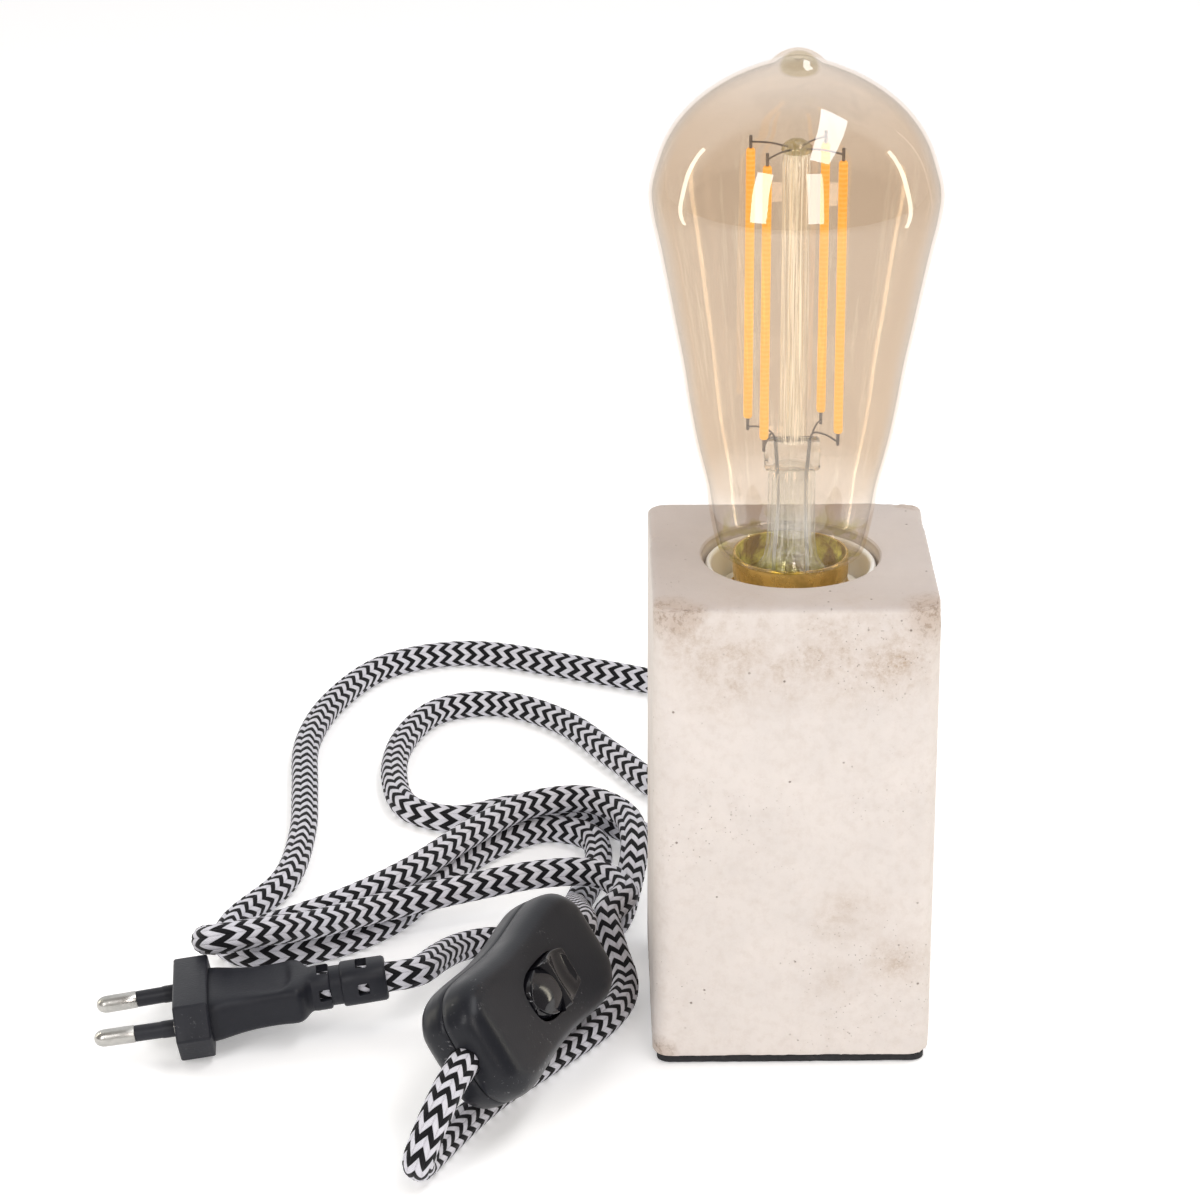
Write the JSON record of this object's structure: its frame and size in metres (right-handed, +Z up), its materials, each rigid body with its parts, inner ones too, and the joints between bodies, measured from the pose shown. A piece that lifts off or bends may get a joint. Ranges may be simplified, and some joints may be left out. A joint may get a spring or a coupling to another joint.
{
  "type": "table lamp",
  "caption": "Square concrete table lamp with a recessed white lampholder, a bare amber filament bulb and a patterned textile cord with inline rocker switch and flat two-pin plug",
  "frame": {"origin": "under the middle of the square foot, on the surface it stands on", "axes": "+Z up, -Y is the front face, +X to the right of the front face; the cord leaves the back face along +Y"},
  "size_m": [0.1923, 0.2916, 0.229],
  "materials": {
    "concrete": "cast pale concrete, matte, stained and pitted",
    "black_rubber": "matte",
    "grey_plastic": "matte",
    "white_plastic": "satin",
    "black_plastic": "fine satin",
    "gloss_black": "gloss",
    "screw_steel": "zinc plated",
    "pin_nickel": "nickel plated",
    "brass": "bright",
    "textile": "braided black and white chevron",
    "brown_insulation": "satin",
    "blue_insulation": "satin",
    "amber_glass": "polished, amber tinted",
    "clear_glass": "polished",
    "black_glass": "gloss",
    "phosphor": "matte coating",
    "circuit_board": "satin"
  },
  "bodies": {
    "foot": {"concrete_body": "concrete", "base_pad": "black_rubber", "cord_bush": "black_rubber", "grip_lower": "grey_plastic", "grip_upper": "grey_plastic", "grip_screws": "screw_steel", "shelf_washer": "screw_steel", "lock_nut": "brass", "nipple": "screw_steel", "inner_cord": "textile", "lead_live": "brown_insulation", "lead_neutral": "blue_insulation", "holder_dome": "white_plastic", "holder_shell": "white_plastic", "holder_insert": "white_plastic", "screw_sleeve": "brass", "sleeve_rivets": "brass", "centre_contact": "brass", "contact_rivet": "brass", "terminal_live": "brass", "terminal_neutral": "brass", "terminal_screws": "screw_steel", "cord_lamp": "textile", "switch_top": "black_plastic", "switch_bottom": "black_plastic", "shell_screws": "screw_steel", "contact_common": "brass", "contact_fixed": "brass", "block_screws": "screw_steel", "switch_live_in": "brown_insulation", "switch_live_out": "brown_insulation", "switch_neutral": "blue_insulation", "clamp_near": "grey_plastic", "clamp_far": "grey_plastic", "clamp_screws": "screw_steel", "cord_plug": "textile", "plug_body": "black_plastic", "pin_live": "pin_nickel", "pin_neutral": "pin_nickel", "sleeve_live": "black_plastic", "sleeve_neutral": "black_plastic"},
    "bulb_rise": {"tip_contact": "screw_steel"},
    "bulb": {"glass_envelope": "amber_glass", "glass_stem": "clear_glass", "filament_1": "phosphor", "filament_2": "phosphor", "filament_3": "phosphor", "filament_4": "phosphor", "top_hub": "screw_steel", "support_live": "screw_steel", "support_neutral": "screw_steel", "driver_board": "circuit_board", "bulb_cap": "brass", "cap_insulator": "black_glass"},
    "rocker": {"rocker": "gloss_black", "plunger": "grey_plastic", "rocker_spring": "screw_steel"},
    "contact_bar": {"contact_bar": "brass"}
  },
  "joints": [
    {"name": "bulb_rise", "type": "slide", "parent": "foot", "child": "bulb_rise", "axis": [0, 0, 1], "range_m": [0, 0.01815]},
    {"name": "bulb_turn", "type": "hinge", "parent": "bulb_rise", "child": "bulb", "pos_m": [0, 0, 0.1], "axis": [0, 0, 1], "range_deg": [0, 1800]},
    {"name": "rocker_tilt", "type": "hinge", "parent": "foot", "child": "rocker", "pos_m": [-0.05668, -0.04295, 0.02598], "axis": [0.505, -0.204, -0.8387], "range_deg": [0, 36]},
    {"name": "bar_tilt", "type": "hinge", "parent": "foot", "child": "contact_bar", "pos_m": [-0.06352, -0.04018, 0.02118], "axis": [0.505, -0.204, -0.8387], "range_deg": [-16, 0]}
  ],
  "couplings": [
    {"joint": "bulb_rise", "follows": "bulb_turn", "m_per_rad": 0.00057757},
    {"joint": "bar_tilt", "follows": "rocker_tilt", "ratio": -0.44444}
  ]
}
